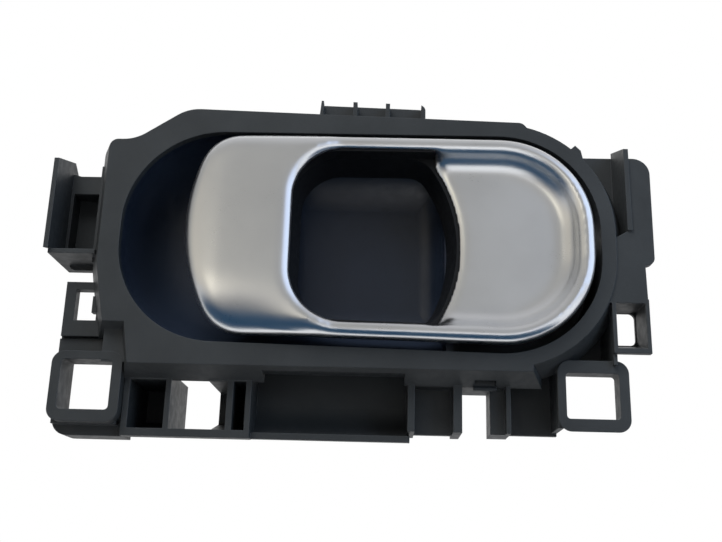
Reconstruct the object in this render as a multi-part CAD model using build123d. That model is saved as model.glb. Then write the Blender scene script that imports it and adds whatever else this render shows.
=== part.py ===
"""Car interior door handle: a silver pull handle hinged in a moulded base behind the door trim.

Sizes are in mm. The front view is the XZ plane with +Z up, and +Y runs into the door. The origin is the
centre of the oval opening, on the front face of the base's flange.
"""

import os

from build123d import *

# Oval opening of the flange: a rectangle with large rounds, its lower edge a little aslant
OVAL_WIDTH = 141.4
OVAL_HEIGHT = 66.0
OVAL_CORNER = 29.5
OVAL_SLANT = 1.4
LEFT = -OVAL_WIDTH / 2
RIGHT = OVAL_WIDTH / 2
LOW = -OVAL_HEIGHT / 2
HIGH = OVAL_HEIGHT / 2
OVAL_CORNERS = [(LEFT, HIGH), (RIGHT, HIGH), (RIGHT, LOW - OVAL_SLANT), (LEFT, LOW + OVAL_SLANT)]
# The rounds leave a short straight stretch on each half of the oval's shorter side
OVAL_STRAIGHT = 0.5
OVAL_ROUND = min(OVAL_CORNER, HIGH - OVAL_SLANT / 2 - OVAL_STRAIGHT)

# Base shell
FLANGE = 2.4
WALL = 2.0
RIM_WIDTH = 4.2
SKIRT_DEPTH = 8.0
SKIRT_FLARE = 3.5
BAY_X = 28.0
BACK_PLATE = 20.0
RIB_FRONT = 7.0
RIB_BACK = 31.0
SHELF = LOW - 7.2
LOWER_EDGE = LOW - 25.4

# Square sockets at the two lower corners
SOCKET_CORNER = 3.6
SOCKET_FRONT = 3.5
SOCKET_DEPTH = 6.0
SOCKET_DRAFT = 1.4

# Finger bowl
BOWL_WALL = 2.0
BOWL_FLOOR = 21.4
BOWL_CORNER = 17.0
BOWL_RIM = 3.6
BOWL_GAP = 0.2
BOWL_END_X = BAY_X - BOWL_GAP
BOWL_END_TOP = 12.4
BOWL_END_CORNER = 8.0
BOWL_END_EAR = 3.0
BOWL_END_EAR_TOP = 5.0
STAKE_RADIUS = 1.3
STAKE_HEAD = 1.8
STAKE_HEAD_THICK = 0.9
STAKE_EAR = 4.6
STAKE_SPOTS = [(LEFT + 8.7, HIGH - 2.8), (LEFT + 10.7, LOW + 0.5)]
PEG_RADIUS = 1.6
PEG_FIT = 0.1
PEG_Y = 16.5
PEG_Z = 12.0

# Pull handle
HANDLE_GAP = 2.2
HANDLE_LEFT = LEFT + 19.2
HANDLE_BOW = 55.0
HANDLE_BOW_Z = 3.0
HANDLE_BOW_CORNER = 13.0
HANDLE_BACK = 2.0
HANDLE_EDGE = 4.6
HANDLE_BACK_EDGE = 2.2
RAIL_WIDTH = 4.8
GRIP_WIDTH = 30.7
GRIP_RIGHT = HANDLE_LEFT + GRIP_WIDTH
GRIP_CORNER = 15.0
CROWN = [
    (HANDLE_LEFT - 8.0, -4.0),
    (HANDLE_LEFT + 11.0, -6.0),
    (GRIP_RIGHT, -6.6),
    (GRIP_RIGHT + 40.0, -6.5),
    (RIGHT + 2.0, -6.2),
]
INNER_EDGE = 2.6
BAND_WALL = 2.5
DISH_FLOOR = 0.8
DISH_CORNER = 6.0

# Rolled lip of the dish, an arc about this front-view centre
LIP_X = -15.3
LIP_Z = -2.0
LIP_RADIUS = 44.0
LIP_ROLL = 3.0

# Carrier behind the handle, with the liner of the finger opening
CARRIER_FIT = 0.1
COVER_FRONT = HANDLE_BACK + CARRIER_FIT
COVER_BACK = COVER_FRONT + 2.8
COVER_INSET = HANDLE_BACK_EDGE + 1.2
LINER_WALL = 1.4
LINER_FRONT = -3.4
LINER_END_X = 22.0
LINER_BACK = BOWL_END_TOP - 0.8
LINER_CORNER = 9.0
LINER_DRAFT = 2.4
CARRIER_RIB_PITCH = 14.0

# Hinge
HINGE_INSET = 6.5
HINGE_X = RIGHT - HINGE_INSET
HINGE_Y = 3.4
PIN_RADIUS = 1.75
PIN_HEAD = 2.7
PIN_HEAD_THICK = 1.2
PIN_FIT = 0.05
PRESS_FIT = 0.02
KNUCKLE = 3.0
KNUCKLE_GAP = 0.4
BARREL_FROM = 5.4
BARREL_TO = 9.6
LUG_FROM = BARREL_TO + 0.3
LUG_TO = LUG_FROM + 3.5
NUT_THICK = 0.8
PIN_TOP = LUG_TO + 2.1

# Return spring
WIRE = 0.4
SPRING_RADIUS = 2.55
SPRING_HALF = 4.6
SPRING_TURNS = 4.75
WIRE_FIT = 0.12
SPRING_BOSS_X = (HINGE_X - 13.5, HINGE_X - 8.5)

# Release lever and cable seats
LEVER_Z = (BARREL_FROM + 0.3, BARREL_TO - 0.3)
LEVER_TIP_X = HINGE_X - 6.0
LEVER_TIP_Y = HINGE_Y + 30.6
LEVER_TIP_RADIUS = 3.8
LEVER_SLOT_X = (HINGE_X - 20.0, HINGE_X + 3.0)
EYE_RADIUS = 1.6
SHEATH_X = (RIGHT + 12.7, RIGHT + 15.1)
SHEATH_RADIUS = 3.0
SHEATH_MOUTH = 4.6

# Rest bumpers
BUMPER_RADIUS = 3.0
BUMPER_STEM = 1.5
BUMPER_STEM_LENGTH = 3.4
BUMPER_X = HINGE_X - 24.0
BUMPER_Z = 17.0
BUMPER_FRONT = COVER_BACK + 0.05
BUMPER_SEAT = BUMPER_FRONT + 1.6

FAR = 120.0


def box(x, y, z):
    """Block between the given pairs of coordinates."""
    centre = [(low + high) / 2 for low, high in (x, y, z)]
    return Pos(*centre) * Box(x[1] - x[0], y[1] - y[0], z[1] - z[0])


def polygon(points):
    """Outline through the points, listed in either turning sense."""
    turn = sum(a[0] * b[1] - b[0] * a[1] for a, b in zip(points, points[1:] + points[:1]))
    return Polygon(*(points if turn > 0 else points[::-1]), align=None)


def rectangle(x, z):
    """Front-view rectangle between two pairs of coordinates."""
    return Pos((x[0] + x[1]) / 2, (z[0] + z[1]) / 2) * Rectangle(x[1] - x[0], z[1] - z[0])


def rounded(outline, corners):
    """Outline with each (x, z, radius) corner rounded."""
    for x, z, radius in corners:
        corner = min(outline.vertices(), key=lambda v: (v.X - x) ** 2 + (v.Y - z) ** 2)
        outline = fillet(corner, radius)
    return outline


def slab(outline, front, back):
    """Solid with a front-view outline, between two depths."""
    return extrude(Plane.XZ.offset(-back) * outline, amount=back - front)


def side_plate(outline, x):
    """Solid with a (y, z) outline, between two x coordinates."""
    return extrude(Plane.YZ.offset(x[0]) * outline, amount=x[1] - x[0])


def level_plate(outline, z):
    """Solid with an (x, y) outline, between two heights."""
    return extrude(Plane.XY.offset(z[0]) * outline, amount=z[1] - z[0])


def post(x, z, radius, front, back):
    """Round post along the depth."""
    return slab(Pos(x, z) * Circle(radius), front, back)


def hinge_rod(radius, z):
    """Round rod on the hinge axis between two heights."""
    return Pos(HINGE_X, HINGE_Y) * level_plate(Circle(radius), z)


def both_sides(low, high):
    """The same span of heights above and below the middle."""
    return [(low, high), (-high, -low)]


def oval(growth, x=(-FAR, FAR)):
    """The oval opening's shape, grown all round and cut to a span of x."""
    shape = offset(polygon(OVAL_CORNERS), growth, kind=Kind.INTERSECTION)
    shape = rounded(shape, [(*corner, OVAL_ROUND + growth) for corner in OVAL_CORNERS])
    return shape & rectangle(x, (-FAR, FAR))


def flared(outline, front, back, growth):
    """Solid whose front and back are the outline grown by the first and the second size."""
    ends = []
    for depth, size in zip((front, back), growth):
        grown = offset(outline, size, kind=Kind.INTERSECTION) if size else outline
        ends.append((Plane.XZ.offset(-depth) * grown).faces()[0])
    return loft(ends, ruled=True)


def flange_outlines():
    """Front view of the flange in two overlapping shapes: stepped at its left, round at its right end."""
    step = RIGHT - 20.8
    corners = [(LEFT - 6.0, HIGH - 2.8), (LEFT + 1.7, HIGH - 2.8), (LEFT + 17.2, HIGH + 7.7)]
    corners += [(step, HIGH + 4.6), (step, LOW - 5.8), (LEFT + 5.9, LOW - 5.8)]
    corners += [(LEFT + 3.9, LOW + 6.2), (LEFT - 2.5, LOW + 6.2), (LEFT - 6.0, LOW + 24.0)]
    radii = [2.6, 12.0, 12.0, 2.6, None, None, None, None, 30.0]
    rounds = [(x, z, radius) for (x, z), radius in zip(corners, radii) if radius]
    return [rounded(polygon(corners), rounds), oval(RIM_WIDTH, (0, FAR))]


def flange_and_skirt():
    """Flange plate with its oval opening and a hollow skirt that flares towards the back."""
    hollow_back = SKIRT_DEPTH + 1
    hollow_growth = (-WALL, SKIRT_FLARE * (hollow_back - FLANGE) / SKIRT_DEPTH - WALL)
    left, right = flange_outlines()
    shell = flared(left, 0, SKIRT_DEPTH, (0, SKIRT_FLARE)) + flared(right, 0, SKIRT_DEPTH, (0, SKIRT_FLARE))
    for outline in (left, right):
        shell -= flared(outline, FLANGE, hollow_back, hollow_growth)
    for x, front in (((-26.5, 14.0), 1.8), ((33.9, 40.1), 4.6)):
        shell -= box(x, (front, SKIRT_DEPTH + 1), (LOW - 13, LOW - 6.8))
    return shell - slab(oval(0), -1, FLANGE + 1)


def top_tab():
    """Ribbed tab above the flange: a back wall with four ribs that leave three pockets."""
    corners = [(-13.6, HIGH + 6), (-13.0, HIGH + 12.9), (19.3, HIGH + 11.9), (19.3, HIGH + 6)]
    outline = rounded(polygon(corners), [(*corners[2], 2.0)])
    tab = slab(outline, 7, 8.6)
    for left in (-13.6, -3.1, 7.0, 18.0):
        tab += slab(outline & rectangle((left, left + 1.3), (HIGH + 5, HIGH + 14)), 3.6, 7)
    return tab


def left_clip():
    """Blade on the left with the deep pocket between it and the skirt."""
    profile = [(0, 23.6), (15, 28.2), (21, 24), (21, -1), (15, -1.6), (0, -5.0)]
    blade = side_plate(polygon(profile), (-22.3, -20.9))
    corners = [(-21.5, 24.3), (-18.4, 23.5), (-7.5, 23.5), (-7.5, -7.6)]
    corners += [(-18.9, -7.6), (-18.9, -5.0), (-21.5, -2.8)]
    back = slab(rounded(polygon(corners), [(-18.9, -7.6, 2.0)]), 14.5, 16)
    inside = rectangle((-20.0, -9.3), (-4.0, 17.5))
    outside = rectangle((-21.5, -7.5), (-6.0, 19.5))
    pocket = slab(inside, 0, FAR)
    pocket_floor = slab(outside, 21, 22.5)
    pocket_walls = slab(outside - inside, 15, 22)
    floor = box((-21.5, -7.5), (2, 15.5), (-6.0, -4.6))
    skirt_link = box((-9.3, -7.5), (6, 16), (-7.6, 23.5))
    return Pos(LEFT, 0, 0) * (blade + back - pocket + pocket_floor + pocket_walls + floor + skirt_link)


def left_window():
    """Small open bracket under the left clip, and the step down to the socket below it."""
    frame = slab(rectangle((-16.3, -3.8), (3.1, 19.6)), 7.2, 10.6)
    frame -= slab(rectangle((-13.2, -6.6), (7.9, 17.3)), 0, FAR)
    hook = box((-8.2, -6.0), (7.6, 10), (10.4, 15.4))
    step = box((-16.8, 0.0), (8.4, 14), (-3.5, 2.5)) + box((-16.8, 0.0), (9.6, 14), (-3.5, 4.5))
    panel = box((-2.6, 4.2), (3.6, 9), (-5.0, 5.6))
    return Pos(LEFT, 0, LOW) * (frame + hook + step + panel)


def left_socket():
    """Square socket at the lower left with the deeper, open-backed tier behind it."""
    ring = Pos(-6.5, -12.1) * RectangleRounded(20.4, 20.2, SOCKET_CORNER)
    hole = Pos(-6.6, -11.6) * RectangleRounded(14.8, 14.4, 1.2)
    tier_low = LOWER_EDGE - LOW
    tier = rounded(rectangle((-16.9, 4.1), (tier_low, -1)), [(-16.9, tier_low, 4.5)])
    room = rectangle((-15.3, 2.1), (tier_low + 2, -3))
    middle = rectangle((-16.4, 2.4), (-22.4, -2.0))
    body = slab(ring, SOCKET_FRONT, 12) + slab(middle, 7.5, 12)
    body += slab(tier, 10, 12)
    body += slab(tier - room, 10, 19)
    return Pos(LEFT, 0, LOW) * (body - slab(hole, 0, FAR))


def right_socket():
    """Square socket at the lower right, drawn in towards its back, with the dark wall above it."""
    ring = Pos(-3.45, -11.7) * RectangleRounded(20.2, 20.2, SOCKET_CORNER)
    hole = Pos(-3.7, -11.7) * RectangleRounded(15.0, 13.0, 1.0)
    body = flared(ring, SOCKET_FRONT, SOCKET_FRONT + SOCKET_DEPTH, (0, -SOCKET_DRAFT))
    body += box((-13.3, -11.7), (6, 22), (-20.6, -1))
    body += box((-13.3, 3.3), (8.4, 10.4), (-4.5, -0.5))
    return Pos(RIGHT, 0, LOW) * (body - slab(hole, 0, FAR))


def lower_left_ribs():
    """Deep ribs below the flange, open right through between the second and the third."""
    rail = (LOWER_EDGE, LOWER_EDGE + 2.2)
    ribs = box((3.9, 40.8), (RIB_FRONT, 11), rail)
    profile = [(RIB_FRONT, SHELF), (RIB_BACK, SHELF), (RIB_BACK, LOWER_EDGE + 5)]
    profile += [(11, LOWER_EDGE), (RIB_FRONT, LOWER_EDGE)]
    for left, right in ((3.9, 5.7), (16.0, 17.5), (33.8, 35.6), (39.2, 40.8)):
        ribs += side_plate(polygon(profile), (left, right))
    floor = [(11, LOWER_EDGE), (11, LOWER_EDGE + 2)]
    floor += [(RIB_BACK, LOWER_EDGE + 7), (RIB_BACK, LOWER_EDGE + 5)]
    for left, right in ((3.9, 17.5), (28.2, 40.8)):
        ribs += box((left, right), (RIB_BACK - WALL, RIB_BACK), (LOWER_EDGE + 5, SHELF))
        ribs += side_plate(polygon(floor), (left, right))
        ribs += box((left, right), (RIB_FRONT, RIB_BACK), (SHELF - WALL, SHELF))
    return Pos(LEFT, 0, 0) * ribs


def lower_wall():
    """Curved wall below the middle of the flange, then the open slot between its two posts."""
    foot = LOWER_EDGE + 2.0
    corners = [(20, LOW - 4), (20, foot), (9.5, foot)]
    corners += [(9.5, foot - 1.8), (21.8, foot - 1.8), (21.8, LOW - 4)]
    curve = rounded(polygon(corners), [(20, foot, 9), (21.8, foot - 1.8, 10.8)])
    wall = side_plate(curve, (LEFT + 40.7, 15.7))
    low = (LOW - 22.4, SHELF)
    wall += box((15.0, 17.0), (RIB_FRONT, 22), low) + box((15.0, 30.5), (14, 16), low)
    wall += box((28.0, 30.5), (RIB_FRONT, 22), low)
    wall += box((38.7, 44.3), (10, 20), low) + box((43.0, 44.3), (RIB_FRONT, 11), low)
    wall += box((15.0, 44.3), (8.6, 22), (SHELF - WALL, SHELF))
    return wall + box((43.0, RIGHT - 11.7), (BACK_PLATE - 2, BACK_PLATE), (LOW - 21.4, LOW - 1))


def right_bracket():
    """Plate at the right with its blade, the pocket beside the blade and the window box below."""
    window_low = LOW + 0.2 + 1.4
    corners = [(-10.7, 26.7), (15.4, 26.7), (15.2, -6.8), (12.4, -6.8), (12.8, LOW + 0.2), (2.2, LOW + 0.2)]
    corners += [(2.2, LOW + 14.8), (-10.7, LOW + 14.8)]
    outline = rounded(polygon(corners), [(15.4, 26.7, 5), (15.2, -6.8, 2.4)])
    pocket = polygon([(-20.7, 3.5), (3.7, 1.2), (8.4, 4.0), (8.4, 30), (-20.7, 30)])
    window = rectangle((3.3, 11.7), (window_low, LOW + 14.8))
    inside = Pos(-RIGHT, 0) * oval(1)
    plate = slab(outline - pocket - window - inside, 0.6, 2.8)
    blade = side_plate(polygon([(0, 29.6), (15, 34.7), (15, 5.8), (0, 3.7)]), (7.8, 9.2))
    pocket_floor = slab(rectangle((-15.7, 9.2), (3, HIGH)) - inside, 15, 16.6)
    frame = slab(rectangle((2.2, 12.8), (LOW + 0.2, LOW + 16.0)) - window, 0.6, 13.2)
    opening = Pos(7.4, LOW + 9.8) * RectangleRounded(8.2, 9.8, 1.8)
    frame += slab(rectangle((2.2, 12.8), (LOW + 0.2, LOW + 16.0)) - opening, 12, 13.2)
    sill = [(0.6, LOW + 0.2), (0.6, window_low), (13, LOW + 4.9), (13, LOW + 3.4)]
    frame += side_plate(polygon(sill), (2.2, 12.8))
    frame -= side_plate(polygon([(2, LOW - 2), (2, LOW + 0.4), (14, LOW + 3.8), (14, LOW - 2)]), (-20, 20))
    leg = box((2.2, 3.3), (2, BACK_PLATE - 1), (LOW - 3, LOW + 16))
    back_wall = slab(rectangle((-16, 3.3), (LOW - 3, LOW + 20)) - inside, BACK_PLATE - 3, BACK_PLATE - 1)
    nub = polygon([(-12.7, 26), (-8.6, 28.6), (-6.5, 30.4), (-4.9, 28.8), (-4.3, 26), (-6.7, 22)])
    nub = slab(nub - inside, 0, 6)
    return Pos(RIGHT, 0, 0) * (plate + blade + pocket_floor + frame + leg + back_wall + nub)


def cable_holder():
    """Fork behind the right plate that holds the end of the cable sheath."""
    middle = sum(LEVER_Z) / 2
    arm = box(SHEATH_X, (2, LEVER_TIP_Y + 5), (middle - 6, middle + 6))
    brace = polygon([(RIGHT + 7.3, 15), (SHEATH_X[0] + 0.7, 15), (SHEATH_X[0] + 0.7, 30)])
    seat = side_plate(Pos(LEVER_TIP_Y, middle) * Circle(SHEATH_RADIUS), (RIGHT, FAR))
    half = SHEATH_MOUTH / 2
    mouth = box((RIGHT, FAR), (LEVER_TIP_Y, FAR), (middle - half, middle + half))
    return arm + level_plate(brace, (middle - 1, middle + 1)) - seat - mouth


def hinge_bay():
    """Collar and back plate round the right end, with the hinge lugs and the bumper posts."""
    collar = oval(WALL, (BAY_X, FAR)) - oval(0)
    bay = slab(collar, 1, BACK_PLATE + WALL)
    bay += slab(oval(WALL / 2, (BAY_X, FAR)), BACK_PLATE, BACK_PLATE + WALL)
    bay += box((BAY_X, BAY_X + WALL), (BOWL_END_TOP + 0.4, BACK_PLATE + 1), (LOW - 0.5, HIGH + 0.5))
    for z in (PEG_Z, -PEG_Z):
        bay -= side_plate(Pos(PEG_Y, z) * Circle(PEG_RADIUS + PEG_FIT), (BAY_X - 1, BAY_X + WALL + 1))
    for span in both_sides(LUG_FROM, LUG_TO):
        bay += hinge_rod(KNUCKLE, span)
        bay += box((HINGE_X - KNUCKLE, HINGE_X + KNUCKLE), (HINGE_Y, BACK_PLATE + 1), span)
    for z in (BUMPER_Z, -BUMPER_Z):
        bay += post(BUMPER_X, z, BUMPER_RADIUS + 0.8, BUMPER_SEAT, BACK_PLATE + 1)
        bay -= post(BUMPER_X, z, BUMPER_STEM + PRESS_FIT, 0, BUMPER_SEAT + BUMPER_STEM_LENGTH + 0.3)
    bay -= hinge_rod(PIN_RADIUS + PRESS_FIT, (-FAR, LUG_TO + 1))
    bay -= hinge_rod(PIN_HEAD + KNUCKLE_GAP, (-FAR, -LUG_TO))
    through_plate = (BACK_PLATE - 1, BACK_PLATE + WALL + 1)
    bay -= box(LEVER_SLOT_X, through_plate, (LEVER_Z[0] - 1, LEVER_Z[1] + 1))
    leg_x = HINGE_X - SPRING_RADIUS
    return bay - post(leg_x, -SPRING_HALF, WIRE + WIRE_FIT, *through_plate)


def base_housing():
    base = flange_and_skirt() + top_tab() + left_clip() + left_window() + left_socket()
    base += lower_left_ribs() + lower_wall() + right_socket() + right_bracket() + cable_holder() + hinge_bay()
    for x, z in STAKE_SPOTS:
        base += post(x, z, STAKE_RADIUS, FLANGE - 0.5, FLANGE + BOWL_WALL)
        base += post(x, z, STAKE_HEAD, FLANGE + BOWL_WALL, FLANGE + BOWL_WALL + STAKE_HEAD_THICK)
    return base


def trough(inset, front):
    """Solid with the bowl's outside shape drawn in by an inset, rounded where its floor meets its walls."""
    end_x = BOWL_END_X - inset
    floor = BOWL_FLOOR + BOWL_WALL - inset
    side_round = slab(oval(BOWL_WALL - inset), front, floor)
    side_round = fillet(side_round.faces().sort_by(Axis.Y)[-1].edges(), BOWL_CORNER + BOWL_WALL - inset)
    end_round = rounded(
        polygon([(-FAR, front), (end_x, front), (end_x, floor), (-FAR, floor)]),
        [(end_x, floor, BOWL_END_CORNER + BOWL_WALL - inset)],
    )
    return side_round & level_plate(end_round, (-FAR, FAR))


def finger_bowl():
    """Smooth cup behind the grip, staked to the flange by its rim and pegged at its right end."""
    rim = oval(BOWL_RIM, (-FAR, BOWL_END_X))
    for x, z in STAKE_SPOTS:
        rim += Pos(x, z) * Circle(STAKE_EAR)
    rim = rim & offset(flange_outlines()[0], -WALL - BOWL_GAP)
    bowl = trough(0, FLANGE) + slab(rim, FLANGE, FLANGE + BOWL_WALL) - trough(BOWL_WALL, FLANGE - 1)
    end = (BOWL_END_X - BOWL_WALL - 1, FAR)
    bowl -= box(end, (0, BOWL_END_EAR_TOP), (-FAR, FAR))
    bowl -= box(end, (0, BOWL_END_TOP), (LOW + BOWL_END_EAR, HIGH - BOWL_END_EAR))
    for x, z in STAKE_SPOTS:
        bowl -= post(x, z, STAKE_RADIUS, 0, 10)
    for z in (PEG_Z, -PEG_Z):
        bowl += side_plate(Pos(PEG_Y, z) * Circle(PEG_RADIUS), (BOWL_END_X - 1, BAY_X + WALL + 0.5))
    return bowl


def handle_outline():
    """Front view of the handle: bowed at the left, round at the right."""
    body = offset(polygon(OVAL_CORNERS), -HANDLE_GAP)
    body = rounded(body, [(*corner, OVAL_ROUND - HANDLE_GAP) for corner in OVAL_CORNERS[1:3]])
    bow = Pos(HANDLE_LEFT + HANDLE_BOW, HANDLE_BOW_Z) * Circle(HANDLE_BOW)
    bow += rectangle((HANDLE_LEFT + HANDLE_BOW, FAR), (-FAR, FAR))
    return rounded(body & bow, [(HANDLE_LEFT, z, HANDLE_BOW_CORNER) for z in (HIGH, LOW)])


def inner_outline():
    """Inside edge of the grip, the rails and the rim."""
    shape = oval(-HANDLE_GAP - RAIL_WIDTH, (GRIP_RIGHT, FAR))
    return rounded(shape, [(GRIP_RIGHT, z, GRIP_CORNER) for z in (HIGH, LOW)])


def opening_outline():
    """Edge of the finger opening at the handle's back: the inside edge, closed by the lip's arc."""
    shape = inner_outline() & Pos(LIP_X, LIP_Z) * Circle(LIP_RADIUS)
    right = LIP_X + LIP_RADIUS
    return rounded(shape, [(right, z, LINER_CORNER) for z in (HIGH, LOW)])


def liner_recess(fit):
    """Front-view shape of the part of the liner that stands inside the grip and the rails."""
    return offset(inner_outline(), LINER_WALL + fit) & rectangle((-FAR, LINER_END_X + fit), (-FAR, FAR))


def handle_block(inset):
    """Whole handle body with its crowned front and rounded edge, drawn in by an inset."""
    crown = Spline(*[(x, y + inset) for x, y in CROWN])
    sides = Polyline(crown @ 1, (CROWN[-1][0], HANDLE_BACK), (CROWN[0][0], HANDLE_BACK), crown @ 0)
    under_crown = level_plate(make_face([crown, sides]), (-FAR, FAR))
    block = slab(offset(handle_outline(), -inset), -20, HANDLE_BACK) & under_crown
    front = block.faces().sort_by(Axis.Y)[0]
    return fillet(front.edges(), HANDLE_EDGE - inset)


def turned(points):
    """Solid of revolution about the lip's centre line, from (radius, depth) points."""
    profile = make_face(Polyline(*points, close=True))
    return Pos(LIP_X, 0, LIP_Z) * revolve(profile, Axis.Y)


def lip_opening():
    """Void of the finger opening, flared at its front so that it leaves a rolled lip on the dish."""
    roll_x = LIP_RADIUS + LIP_ROLL
    roll_y = DISH_FLOOR + LIP_ROLL - 0.1
    void = turned([(0, -4), (roll_x, -4), (roll_x, roll_y), (LIP_RADIUS, roll_y), (LIP_RADIUS, 30), (0, 30)])
    rod = make_face(Pos(roll_x, roll_y) * CenterArc((0, 0), LIP_ROLL, 0, 360))
    void -= Pos(LIP_X, 0, LIP_Z) * revolve(rod, Axis.Y)
    return void & slab(inner_outline(), -4, 30)


def handle_shell():
    """Silver shell: grip band, rails, rim and dish, hollow behind the grip."""
    shell = handle_block(0)
    shell = fillet(shell.faces().sort_by(Axis.Y)[-1].edges(), HANDLE_BACK_EDGE)
    pan = slab(inner_outline(), -FAR, DISH_FLOOR)
    shell -= fillet(pan.faces().sort_by(Axis.Y)[-1].edges(), DISH_CORNER)
    front = shell.faces().sort_by(Axis.Y)[0]
    shell = fillet(front.inner_wires()[0].edges(), INNER_EDGE)
    shell -= lip_opening()
    shell -= slab(liner_recess(CARRIER_FIT), LINER_FRONT, FAR)
    hollow_right = GRIP_RIGHT - BAND_WALL - LINER_WALL
    hollow = handle_block(BAND_WALL) & slab(offset(handle_outline(), -COVER_INSET), -FAR, FAR)
    hollow &= box((-FAR, hollow_right), (-FAR, FAR), (-FAR, FAR))
    return shell - hollow - hinge_rod(KNUCKLE + KNUCKLE_GAP, (-PIN_TOP, PIN_TOP + 1))


def handle_carrier():
    """Black core behind the shell with the opening's liner, the hinge barrels and the release lever."""
    opening = opening_outline()
    liner = slab(liner_recess(0) - inner_outline(), LINER_FRONT + CARRIER_FIT, COVER_FRONT)
    carrier = slab(offset(handle_outline(), -COVER_INSET), COVER_FRONT, COVER_BACK)
    carrier -= box((HINGE_X - KNUCKLE - 1.4, FAR), (0, FAR), (-PIN_TOP, PIN_TOP + 1))
    carrier += flared(opening, COVER_FRONT, LINER_BACK, (LINER_WALL, LINER_WALL - LINER_DRAFT))
    carrier -= flared(opening, COVER_FRONT, LINER_BACK, (0, -LINER_DRAFT))
    carrier += liner
    rib_right = GRIP_RIGHT - BAND_WALL - LINER_WALL - CARRIER_FIT
    for z in (-CARRIER_RIB_PITCH, 0.0, CARRIER_RIB_PITCH):
        carrier += box((HANDLE_LEFT + 11.0, rib_right), (-2.0, COVER_BACK), (z - 0.8, z + 0.8))
    for span in both_sides(BARREL_FROM, BARREL_TO):
        carrier += box((HINGE_X - 12, HINGE_X), (COVER_FRONT + 0.3, HINGE_Y + KNUCKLE), span)
        carrier += hinge_rod(KNUCKLE, span)
    lever = polygon(
        [
            (HINGE_X - 13, COVER_BACK - 0.4),
            (HINGE_X - 1, HINGE_Y + 1.6),
            (LEVER_TIP_X + 3.6, LEVER_TIP_Y),
            (LEVER_TIP_X - 3.6, LEVER_TIP_Y),
        ]
    )
    lever += Pos(LEVER_TIP_X, LEVER_TIP_Y) * Circle(LEVER_TIP_RADIUS)
    lever -= Pos(LEVER_TIP_X, LEVER_TIP_Y) * Circle(EYE_RADIUS)
    carrier += level_plate(lever, LEVER_Z)
    wire_y = HINGE_Y + SPRING_RADIUS
    carrier += box(SPRING_BOSS_X, (COVER_FRONT + 0.2, wire_y + 2), (SPRING_HALF - 1.6, BARREL_FROM + 0.5))
    leg = side_plate(Pos(wire_y, SPRING_HALF) * Circle(WIRE + WIRE_FIT), (SPRING_BOSS_X[0], HINGE_X))
    return carrier - leg - hinge_rod(PIN_RADIUS + PIN_FIT, (-FAR, FAR))


def hinge_pin():
    """Steel pin with a head under the lower lug."""
    head = hinge_rod(PIN_HEAD, (-LUG_TO - PIN_HEAD_THICK, -LUG_TO))
    return hinge_rod(PIN_RADIUS, (-LUG_TO, PIN_TOP)) + head


def pin_push_nut():
    """Push-on ring above the upper lug."""
    span = (LUG_TO, LUG_TO + NUT_THICK)
    return hinge_rod(KNUCKLE, span) - hinge_rod(PIN_RADIUS + PRESS_FIT, span)


def return_spring():
    """Wound wire spring: one leg into the back plate, the other into the carrier."""
    pitch = 2 * SPRING_HALF / SPRING_TURNS
    coil = Pos(HINGE_X, HINGE_Y, -SPRING_HALF) * Rot(0, 0, 180) * Helix(pitch, 2 * SPRING_HALF, SPRING_RADIUS)
    first = coil @ 0
    last = coil @ 1
    base_leg = Line((first.X, BACK_PLATE + WALL, first.Z), first)
    carrier_leg = Line(last, (SPRING_BOSS_X[0] + 0.5, last.Y, last.Z))
    section = Plane(base_leg @ 0, z_dir=base_leg % 0) * Circle(WIRE)
    return sweep(section, Wire([base_leg, coil.edge(), carrier_leg]), transition=Transition.TRANSFORMED)


def rest_bumpers():
    """Two rubber pads with stems, where the handle comes to rest."""
    pads = []
    for z in (BUMPER_Z, -BUMPER_Z):
        pad = post(BUMPER_X, z, BUMPER_RADIUS, BUMPER_FRONT, BUMPER_SEAT)
        pads.append(pad + post(BUMPER_X, z, BUMPER_STEM, BUMPER_SEAT, BUMPER_SEAT + BUMPER_STEM_LENGTH))
    return Compound(children=pads)


os.makedirs("parts", exist_ok=True)
for make in (
    base_housing,
    finger_bowl,
    handle_shell,
    handle_carrier,
    hinge_pin,
    pin_push_nut,
    return_spring,
    rest_bumpers,
):
    export_step(make(), f"parts/{make.__name__}.step")
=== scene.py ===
"""Looks of the car interior door handle: camera, studio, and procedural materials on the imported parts."""
import math

import bpy
from mathutils import Matrix, Vector


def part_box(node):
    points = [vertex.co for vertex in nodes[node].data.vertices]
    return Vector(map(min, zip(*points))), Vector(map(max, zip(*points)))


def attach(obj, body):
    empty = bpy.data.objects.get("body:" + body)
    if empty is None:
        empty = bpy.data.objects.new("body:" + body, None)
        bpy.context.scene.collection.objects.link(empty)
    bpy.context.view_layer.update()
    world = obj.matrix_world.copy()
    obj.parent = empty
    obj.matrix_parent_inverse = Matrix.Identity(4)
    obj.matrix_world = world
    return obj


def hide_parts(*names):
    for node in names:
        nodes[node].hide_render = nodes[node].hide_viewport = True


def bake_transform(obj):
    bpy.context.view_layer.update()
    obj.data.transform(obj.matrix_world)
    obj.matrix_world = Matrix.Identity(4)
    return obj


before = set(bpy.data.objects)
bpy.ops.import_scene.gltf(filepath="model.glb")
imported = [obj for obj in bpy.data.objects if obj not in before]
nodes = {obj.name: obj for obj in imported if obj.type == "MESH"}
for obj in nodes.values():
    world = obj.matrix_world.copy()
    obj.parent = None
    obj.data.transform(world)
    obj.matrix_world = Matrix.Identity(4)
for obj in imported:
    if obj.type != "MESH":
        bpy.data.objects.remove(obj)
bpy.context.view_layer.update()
scene = bpy.context.scene

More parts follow.
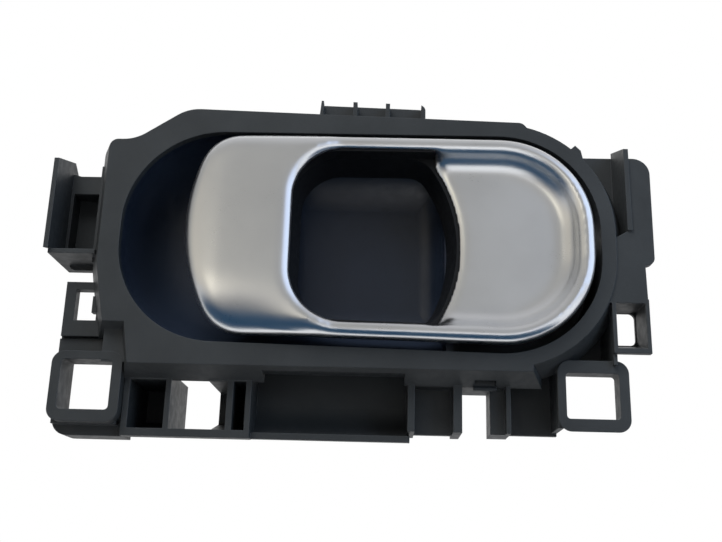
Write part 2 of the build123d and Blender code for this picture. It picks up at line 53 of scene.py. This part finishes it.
# Photograph's camera, in metres and degrees, with its sensor in mm; the part is seen a little from below
IMAGE_WIDTH = 722
FOCAL_PIXELS = 940
SENSOR = 36.0
CAMERA_TARGET = Vector((0.0008, 0.0, -0.0104))
CAMERA_DISTANCE = 0.2726
CAMERA_ELEVATION = -17.0
CAMERA_YAW = 1.5
CAMERA_ROLL = 1.6
CAMERA_NEAR = 0.01

# Floor well below the part: height, reach each way and colour
FLOOR_Z = -0.135
FLOOR_REACH = 3.0
FLOOR_COLOUR = (0.64, 0.64, 0.64)
# Glow of the floor where it is looked at, and its share beside the floor's own light and shadow
FLOOR_GLOW = 1.0
FLOOR_SHARE = 0.55

# Studio light by height: straight down, the horizon and straight up are 0, 0.5 and 1
SKY = [
    (0.40, (0.27, 0.28, 0.30)),
    (0.475, (0.30, 0.29, 0.285)),
    (0.515, (0.37, 0.36, 0.345)),
    (0.57, (0.35, 0.346, 0.334)),
    (0.65, (0.325, 0.324, 0.312)),
    (0.78, (0.345, 0.343, 0.336)),
    (0.95, (0.50, 0.50, 0.51)),
]
# Share of it that fills in the shadows, next to what the silver mirrors
FILL = 0.4
# Brighter areas in it: direction, cosine at the edge and in the core, colour
LOBES = [
    ((-0.49, -0.87, 0.02), 0.960, 0.988, (1.75, 1.63, 1.36)),
    ((-0.80, -0.58, -0.05), 0.82, 0.97, (0.62, 0.58, 0.50)),
    ((0.85, -0.45, 0.20), 0.66, 0.90, (0.78, 0.90, 1.15)),
    ((0.97, 0.05, 0.25), 0.75, 0.95, (0.85, 1.00, 1.25)),
]
# White backdrop behind the part: cosine at its edge and where it is full, and its colour
BACKDROP_SPAN = (0.0, 0.3)
BACKDROP_COLOUR = (1.0, 1.0, 1.0)

# Dark cards that only mirrored rays meet, under and in front of the part: X, Y and colour of each
CARDS = {
    "left_card": ((-0.30, -0.012), (-0.20, -0.012), (0.014, 0.052, 0.105)),
    "warm_card": ((-0.30, -0.012), (-0.60, -0.20), (0.215, 0.200, 0.190)),
    "right_card": ((-0.012, 0.12), (-0.11, -0.004), (0.014, 0.052, 0.105)),
}
CARD_Z = -0.075

# Lamps: place, aim, size, power in watts and colour of each
LAMPS = {
    "key": ((-0.16, -0.30, 0.42), (0.0, 0.0, 0.01), (0.35, 0.30), 5.2, (1.0, 0.99, 0.97)),
    "window": ((0.55, -0.40, 0.20), (0.05, 0.0, 0.0), (0.4, 0.4), 2.6, (0.60, 0.79, 1.0)),
}

# Span over which noise is read, and the roughness of its finer layers
NOISE_SPAN = (0.3, 0.7)
NOISE_ROUGHNESS = 0.55

# Moulded plastics and rubber: darker and lighter tone, roughness, specular level and paleness of rubbed edges
MOULDED = {
    "base_plastic": ((0.0185, 0.0203, 0.0217), (0.0248, 0.0271, 0.029), 0.5, 0.3, 0.6),
    # The bowl's tones are tinted blue: painted reflection of the bluish light from the right, laid on its
    # black plastic.
    "bowl_plastic": ((0.007, 0.0105, 0.0185), (0.0105, 0.015, 0.0255), 0.34, 0.5, 0.0),
    "carrier_plastic": ((0.003, 0.0035, 0.0045), (0.005, 0.0055, 0.0065), 0.42, 0.3, 0.0),
    "bumper_rubber": ((0.01, 0.01, 0.01), (0.02, 0.02, 0.02), 0.8, 0.3, 0.0),
}
# Their noises per metre, the parts of the tone that flow marks and grain make, and the sheen's unevenness
MOULD_GRAIN = 2600.0
MOULD_FLOW = 45.0
MOULD_WEAR = 420.0
MOULD_TONE = (0.7, 0.3)
MOULD_UNEVEN = 0.06
# Depth in metres and strength of a material's relief
MOULD_RELIEF = (0.00004, 0.6)
SILVER_RELIEF = (0.000004, 0.4)
STEEL_RELIEF = (0.00001, 0.5)
# Rubbed edges: radius in metres, cosine where they start and are full, wear from and to, and their tone
EDGE_RADIUS = 0.0004
EDGE_SAMPLES = 4
EDGE_TURN = (0.98, 0.75)
EDGE_WEAR = (0.25, 0.75, 0.3, 1.0)
EDGE_TONE = 2.5

# Silver plating: its noises per metre, the stretch of its lay, haze and lay in its sheen, tones and roughness
SILVER_LAY = 900.0
SILVER_HAZE = 38.0
SILVER_PEEL = 700.0
SILVER_STRETCH = (1.0, 1.0, 9.0)
SILVER_SHEEN = (0.6, 0.4)
SILVER_TONES = ((0.84, 0.85, 0.865), (0.89, 0.90, 0.91))
SILVER_ROUGHNESS = (0.27, 0.33)

# Zinc plated steel: its drawn marks per metre, tones and roughness
STEEL_MARKS = 3000.0
STEEL_TONES = ((0.48, 0.48, 0.47), (0.62, 0.62, 0.6))
STEEL_ROUGHNESS = (0.3, 0.45)

# Web at the back of the skirt's clip notch: its X, and its profile in Y and Z with a small nose
WEB_X = (0.0337, 0.0403)
WEB_BACK = 0.0078
WEB_FRONT = 0.0070
WEB_NOSE = 0.0064
WEB_TOP = -0.0385
WEB_FOOT = -0.0434
WEB_ROUND = 0.0002

# Eased form of the silver shell: grid, passes of easing and the step of each, the band of depths where it
# sets in, and the share of it that the back gets
SHELL_GRID = 0.0006
SHELL_PASSES = 36
SHELL_STEP = 0.5
SHELL_EASE = (0.0019, 0.0006)
SHELL_BACK_EASE = 0.25
# Crown that falls away to the grip's lower and left edges: where each starts, its end and its steepness,
# and the band of X over which the lower one fades out
CROWN_LOW = (-0.010, -0.031, 0.38)
CROWN_LEFT = (-0.038, -0.0515, 0.30)
CROWN_FADE = (-0.034, -0.006)
# Bead that stands out over the opening's left side: its overhang, the band of X it moves, and its depths
BEAD_OVERHANG = 0.0013
BEAD_BAND = (-0.040, -0.0215, 0.012)
BEAD_DEPTH = (-0.0030, -0.0042)


def make_camera():
    """Camera at the photograph's viewing angle."""
    pitch, yaw, roll = (math.radians(a) for a in (CAMERA_ELEVATION, CAMERA_YAW, CAMERA_ROLL))
    back = Vector((math.sin(yaw) * math.cos(pitch), -math.cos(yaw) * math.cos(pitch), math.sin(pitch)))
    level = Vector((math.cos(yaw), math.sin(yaw), 0.0))
    upright = back.cross(level)
    right = math.cos(roll) * level + math.sin(roll) * upright
    up = back.cross(right)
    data = bpy.data.cameras.new("camera")
    data.sensor_width = SENSOR
    data.lens = SENSOR * FOCAL_PIXELS / IMAGE_WIDTH
    data.clip_start = CAMERA_NEAR
    camera = bpy.data.objects.new("camera", data)
    scene.collection.objects.link(camera)
    turn = Matrix((right, up, back)).transposed().to_4x4()
    camera.matrix_world = Matrix.Translation(CAMERA_TARGET + back * CAMERA_DISTANCE) @ turn
    scene.camera = camera


class Graph:
    """Small helper to build a node tree."""

    def __init__(self, tree):
        self.tree = tree
        self.tree.nodes.clear()

    def node(self, kind, **settings):
        """New node with the given settings."""
        made = self.tree.nodes.new(kind)
        for name, value in settings.items():
            setattr(made, name, value)
        return made

    def link(self, source, target):
        self.tree.links.new(source, target)

    def feed(self, socket, value):
        """Link an input to another node's output, or set it to a constant."""
        if isinstance(value, bpy.types.NodeSocket):
            self.link(value, socket)
        elif socket.type == "RGBA":
            socket.default_value = (*value, 1.0)
        else:
            socket.default_value = value

    def set(self, node, **inputs):
        """Feed a node's inputs by name, with an underscore for each space."""
        for name, value in inputs.items():
            self.feed(node.inputs[name.replace("_", " ")], value)
        return node

    def fed(self, kind, *values, **settings):
        """New node with values for its first inputs."""
        made = self.node(kind, **settings)
        for socket, value in zip(made.inputs, values):
            self.feed(socket, value)
        return made

    def math(self, operation, *values):
        return self.fed("ShaderNodeMath", *values, operation=operation).outputs[0]

    def cosine(self, a, b):
        """Cosine between two directions."""
        return self.fed("ShaderNodeVectorMath", a, b, operation="DOT_PRODUCT").outputs["Value"]

    def blend(self, parts, a, b):
        """Sum of two values, each times its part."""
        return self.math("ADD", self.math("MULTIPLY", a, parts[0]), self.math("MULTIPLY", b, parts[1]))

    def remap(self, value, low, high, to_low=0.0, to_high=1.0):
        """Value carried smoothly from one span to another."""
        made = self.node("ShaderNodeMapRange", interpolation_type="SMOOTHSTEP")
        self.set(made, Value=value, From_Min=low, From_Max=high, To_Min=to_low, To_Max=to_high)
        return made.outputs["Result"]

    def mix(self, fraction, a, b):
        """Colour on the way from a to b."""
        made = self.node("ShaderNodeMix", data_type="RGBA")
        for place, value in ((0, fraction), (6, a), (7, b)):
            self.feed(made.inputs[place], value)
        return made.outputs[2]

    def mix_shaders(self, fraction, a, b):
        return self.fed("ShaderNodeMixShader", fraction, a, b).outputs[0]

    def ramp(self, value, stops):
        """Colours laid along a value: stops are (value, colour) pairs."""
        made = self.fed("ShaderNodeValToRGB", value)
        elements = made.color_ramp.elements
        while len(elements) < len(stops):
            elements.new(1.0)
        for element, (place, colour) in zip(elements, stops):
            element.position = place
            element.color = (*colour, 1.0)
        return made.outputs["Color"]

    def noise(self, position, scale, detail):
        made = self.node("ShaderNodeTexNoise")
        self.set(made, Vector=position, Scale=scale, Detail=detail, Roughness=NOISE_ROUGHNESS)
        return made.outputs["Fac"]


def make_world():
    """Studio light by direction, with a white backdrop behind the part."""
    world = bpy.data.worlds.new("studio")
    scene.world = world
    world.use_nodes = True
    g = Graph(world.node_tree)
    direction = g.node("ShaderNodeTexCoord").outputs["Generated"]

    def towards(*aim):
        return g.cosine(direction, Vector(aim).normalized())

    colour = g.ramp(g.math("MULTIPLY_ADD", towards(0, 0, 1), 0.5, 0.5), SKY)
    for aim, edge, core, glow in LOBES:
        colour = g.mix(g.remap(towards(*aim), edge, core), colour, glow)

    rays = g.node("ShaderNodeLightPath").outputs
    behind = g.remap(towards(0, 1, 0), *BACKDROP_SPAN)
    mirrored = g.math("MAXIMUM", rays["Is Glossy Ray"], rays["Is Transmission Ray"])
    shown = g.math("MAXIMUM", rays["Is Camera Ray"], g.math("MULTIPLY", mirrored, behind))
    colour = g.mix(shown, colour, BACKDROP_COLOUR)
    strength = g.math("MULTIPLY_ADD", rays["Is Diffuse Ray"], FILL - 1.0, 1.0)
    background = g.set(g.node("ShaderNodeBackground"), Color=colour, Strength=strength)
    g.link(background.outputs[0], g.node("ShaderNodeOutputWorld").inputs["Surface"])


def make_sheet(name, x, y, z, build):
    """Level sheet of the stage between the given coordinates, with the shader that build(graph) returns."""
    mesh = bpy.data.meshes.new(name)
    corners = [(x[0], y[0], z), (x[1], y[0], z), (x[1], y[1], z), (x[0], y[1], z)]
    mesh.from_pydata(corners, [], [(0, 1, 2, 3)])
    sheet = bpy.data.objects.new(name, mesh)
    scene.collection.objects.link(sheet)
    material = bpy.data.materials.new(name)
    material.use_nodes = True
    g = Graph(material.node_tree)
    g.link(build(g), g.node("ShaderNodeOutputMaterial").inputs["Surface"])
    mesh.materials.append(material)
    return sheet


def pale_matte(g):
    """Matte floor, lifted to a pale tone where it is looked at or mirrored, with its shadows kept."""
    lit = g.set(g.node("ShaderNodeBsdfDiffuse"), Color=FLOOR_COLOUR).outputs[0]
    glow = g.set(g.node("ShaderNodeEmission"), Strength=FLOOR_GLOW).outputs[0]
    rays = g.node("ShaderNodeLightPath").outputs
    mirrored = g.math("MAXIMUM", rays["Is Glossy Ray"], rays["Is Transmission Ray"])
    seen = g.math("MAXIMUM", rays["Is Camera Ray"], mirrored)
    return g.mix_shaders(seen, lit, g.mix_shaders(FLOOR_SHARE, lit, glow))


def plain_glow(colour):
    """Even glow in one colour."""

    def build(g):
        return g.set(g.node("ShaderNodeEmission"), Color=colour).outputs[0]

    return build


def make_stage():
    """Plain pale floor, and the cards that the silver mirrors."""
    reach = (-FLOOR_REACH, FLOOR_REACH)
    make_sheet("floor", reach, reach, FLOOR_Z, pale_matte)
    for name, (x, y, colour) in CARDS.items():
        card = make_sheet(name, x, y, CARD_Z, plain_glow(colour))
        card.visible_camera = False
        card.visible_diffuse = False
        card.visible_shadow = False
        card.visible_transmission = False


def make_lamp(name, place, aim, size, power, colour):
    """Soft rectangular lamp that the silver doesn't mirror."""
    data = bpy.data.lights.new(name, "AREA")
    data.shape = "RECTANGLE"
    data.size, data.size_y = size
    data.energy = power
    data.color = colour
    lamp = bpy.data.objects.new(name, data)
    scene.collection.objects.link(lamp)
    lamp.location = place
    lamp.rotation_euler = (Vector(aim) - Vector(place)).to_track_quat("-Z", "Y").to_euler()
    lamp.visible_glossy = False


def surface(name, build):
    """Material whose node tree is filled by build(graph, position, shader)."""
    material = bpy.data.materials.new(name)
    material.use_nodes = True
    g = Graph(material.node_tree)
    position = g.node("ShaderNodeTexCoord").outputs["Object"]
    shader = g.node("ShaderNodeBsdfPrincipled")
    build(g, position, shader)
    g.link(shader.outputs[0], g.node("ShaderNodeOutputMaterial").inputs["Surface"])
    return material


def bump(g, shader, height, depth, strength):
    """Fine relief on a shader's normal."""
    made = g.set(g.node("ShaderNodeBump"), Strength=strength, Distance=depth, Height=height)
    g.link(made.outputs["Normal"], shader.inputs["Normal"])
    return made


def moulded(dark, light, rough, specular, edge):
    """Matte moulded surface: eroded grain, faint flow marks, uneven sheen and edges rubbed paler."""

    def build(g, position, shader):
        grain = g.noise(position, MOULD_GRAIN, detail=2.0)
        flow = g.noise(position, MOULD_FLOW, detail=4.0)
        worn = g.noise(position, MOULD_WEAR, detail=3.0)
        colour = g.mix(g.remap(g.blend(MOULD_TONE, flow, grain), *NOISE_SPAN), dark, light)
        sheen = g.remap(worn, *NOISE_SPAN, rough - MOULD_UNEVEN, rough + MOULD_UNEVEN)
        relief = bump(g, shader, grain, *MOULD_RELIEF)
        if edge:
            eased = g.set(g.node("ShaderNodeBevel", samples=EDGE_SAMPLES), Radius=EDGE_RADIUS).outputs[0]
            g.link(eased, relief.inputs["Normal"])
            turn = g.cosine(eased, g.node("ShaderNodeNewGeometry").outputs["Normal"])
            rubbed = g.math("MULTIPLY", g.remap(turn, *EDGE_TURN), g.remap(worn, *EDGE_WEAR))
            pale = tuple(EDGE_TONE * c for c in light)
            colour = g.mix(g.math("MULTIPLY", rubbed, edge), colour, pale)
        g.set(shader, Base_Color=colour, Roughness=sheen, Specular_IOR_Level=specular)

    return build


def plated_silver(g, position, shader):
    """Satin silver plating: fine lay, soft orange peel and a little handling haze."""
    stretched = g.set(g.node("ShaderNodeMapping"), Vector=position, Scale=SILVER_STRETCH).outputs[0]
    lay = g.noise(stretched, SILVER_LAY, detail=3.0)
    haze = g.noise(position, SILVER_HAZE, detail=4.0)
    peel = g.noise(position, SILVER_PEEL, detail=1.0)
    colour = g.mix(g.remap(haze, *NOISE_SPAN), *SILVER_TONES)
    sheen = g.remap(g.blend(SILVER_SHEEN, haze, lay), *NOISE_SPAN, *SILVER_ROUGHNESS)
    g.set(shader, Base_Color=colour, Roughness=sheen, Metallic=1.0)
    bump(g, shader, peel, *SILVER_RELIEF)


def zinc_steel(g, position, shader):
    """Zinc plated steel with fine drawn marks."""
    marks = g.noise(position, STEEL_MARKS, detail=2.0)
    colour = g.mix(g.remap(marks, *NOISE_SPAN), *STEEL_TONES)
    g.set(shader, Base_Color=colour, Roughness=g.remap(marks, *NOISE_SPAN, *STEEL_ROUGHNESS), Metallic=1.0)
    bump(g, shader, marks, *STEEL_RELIEF)


def dress(node, material):
    """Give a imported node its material."""
    slots = nodes[node].data.materials
    slots.clear()
    slots.append(material)


def applied(piece):
    """Leave a piece with the mesh that its modifiers make."""
    mesh = bpy.data.meshes.new_from_object(piece.evaluated_get(bpy.context.evaluated_depsgraph_get()))
    piece.modifiers.clear()
    piece.data = mesh
    return mesh


def share(value, start, end):
    """Part of the way from start to end, from 0 to 1."""
    return min(max((value - start) / (end - start), 0.0), 1.0)


def smooth(part):
    """The same part of the way, with a soft start and end."""
    return part * part * (3 - 2 * part)


def fall(value, start, end, steepness):
    """How far a crown has dropped at a value, on a slope that grows smoothly from start to end."""
    part = share(value, start, end)
    return steepness * abs(end - start) * (part**3 - part**4 / 2)


def make_shell(material):
    """Silver shell in one soft skin: crowned towards its lower and left edges, every front edge eased."""
    shell = bpy.data.objects.new("silver_shell", nodes["handle_shell"].data.copy())
    scene.collection.objects.link(shell)
    grid = shell.modifiers.new("grid", "REMESH")
    grid.mode = "VOXEL"
    grid.voxel_size = SHELL_GRID
    mesh = applied(shell)

    low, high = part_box("handle_shell")
    soft = shell.vertex_groups.new(name="soft")
    for vertex in mesh.vertices:
        x, y, z = vertex.co
        drop = (1 - smooth(share(x, *CROWN_FADE))) * fall(z, *CROWN_LOW) + fall(x, *CROWN_LEFT)
        vertex.co.y += drop * (high[1] - y) / (high[1] - low[1])
        soft.add([vertex.index], max(share(y, *SHELL_EASE), SHELL_BACK_EASE), "REPLACE")

    easing = shell.modifiers.new("easing", "SMOOTH")
    easing.factor = SHELL_STEP
    easing.iterations = SHELL_PASSES
    easing.vertex_group = "soft"
    mesh = applied(shell)

    left, edge, right = BEAD_BAND
    for vertex in mesh.vertices:
        x, y = vertex.co.xy
        near = share(x, left, edge) if x < edge else share(x, right, edge)
        vertex.co.x += BEAD_OVERHANG * smooth(near) * smooth(share(y, *BEAD_DEPTH))
    mesh.shade_smooth()
    mesh.materials.clear()
    mesh.materials.append(material)
    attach(shell, "handle")
    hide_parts("handle_shell")


def make_web(material):
    """Thin web with a clip nose that closes the back of the notch in the skirt's lower wall."""
    profile = [
        (WEB_BACK, WEB_TOP),
        (WEB_BACK, WEB_FOOT),
        (WEB_NOSE, WEB_FOOT),
        (WEB_NOSE, WEB_FOOT + WEB_BACK - WEB_FRONT),
        (WEB_FRONT, WEB_FOOT + WEB_BACK - WEB_NOSE),
        (WEB_FRONT, WEB_TOP),
    ]
    count = len(profile)
    points = [(x, y, z) for x in WEB_X for y, z in profile]
    sides = [(i, (i + 1) % count, count + (i + 1) % count, count + i) for i in range(count)]
    ends = [tuple(reversed(range(count))), tuple(range(count, 2 * count))]
    mesh = bpy.data.meshes.new("notch_web")
    mesh.from_pydata(points, [], sides + ends)
    mesh.materials.append(material)
    web = bpy.data.objects.new("notch_web", mesh)
    scene.collection.objects.link(web)
    edges = web.modifiers.new("edges", "BEVEL")
    edges.width = WEB_ROUND
    edges.segments = 2
    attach(web, "base")


def make_spring(material):
    """Return spring, copied in steel and standing in for the imported one."""
    mesh = nodes["return_spring"].data.copy()
    mesh.materials.clear()
    mesh.materials.append(material)
    spring = bpy.data.objects.new("wound_spring", mesh)
    scene.collection.objects.link(spring)
    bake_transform(spring)
    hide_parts("return_spring")


make_camera()
make_world()
make_stage()
for name, lamp in LAMPS.items():
    make_lamp(name, *lamp)

materials = {name: surface(name, moulded(*looks)) for name, looks in MOULDED.items()}
silver = surface("silver_plating", plated_silver)
steel = surface("pin_steel", zinc_steel)

dress("base_housing", materials["base_plastic"])
dress("finger_bowl", materials["bowl_plastic"])
dress("handle_carrier", materials["carrier_plastic"])
dress("rest_bumpers", materials["bumper_rubber"])
dress("hinge_pin", steel)
dress("pin_push_nut", steel)

make_web(materials["base_plastic"])
make_shell(silver)
make_spring(steel)

scene.view_settings.view_transform = "Standard"
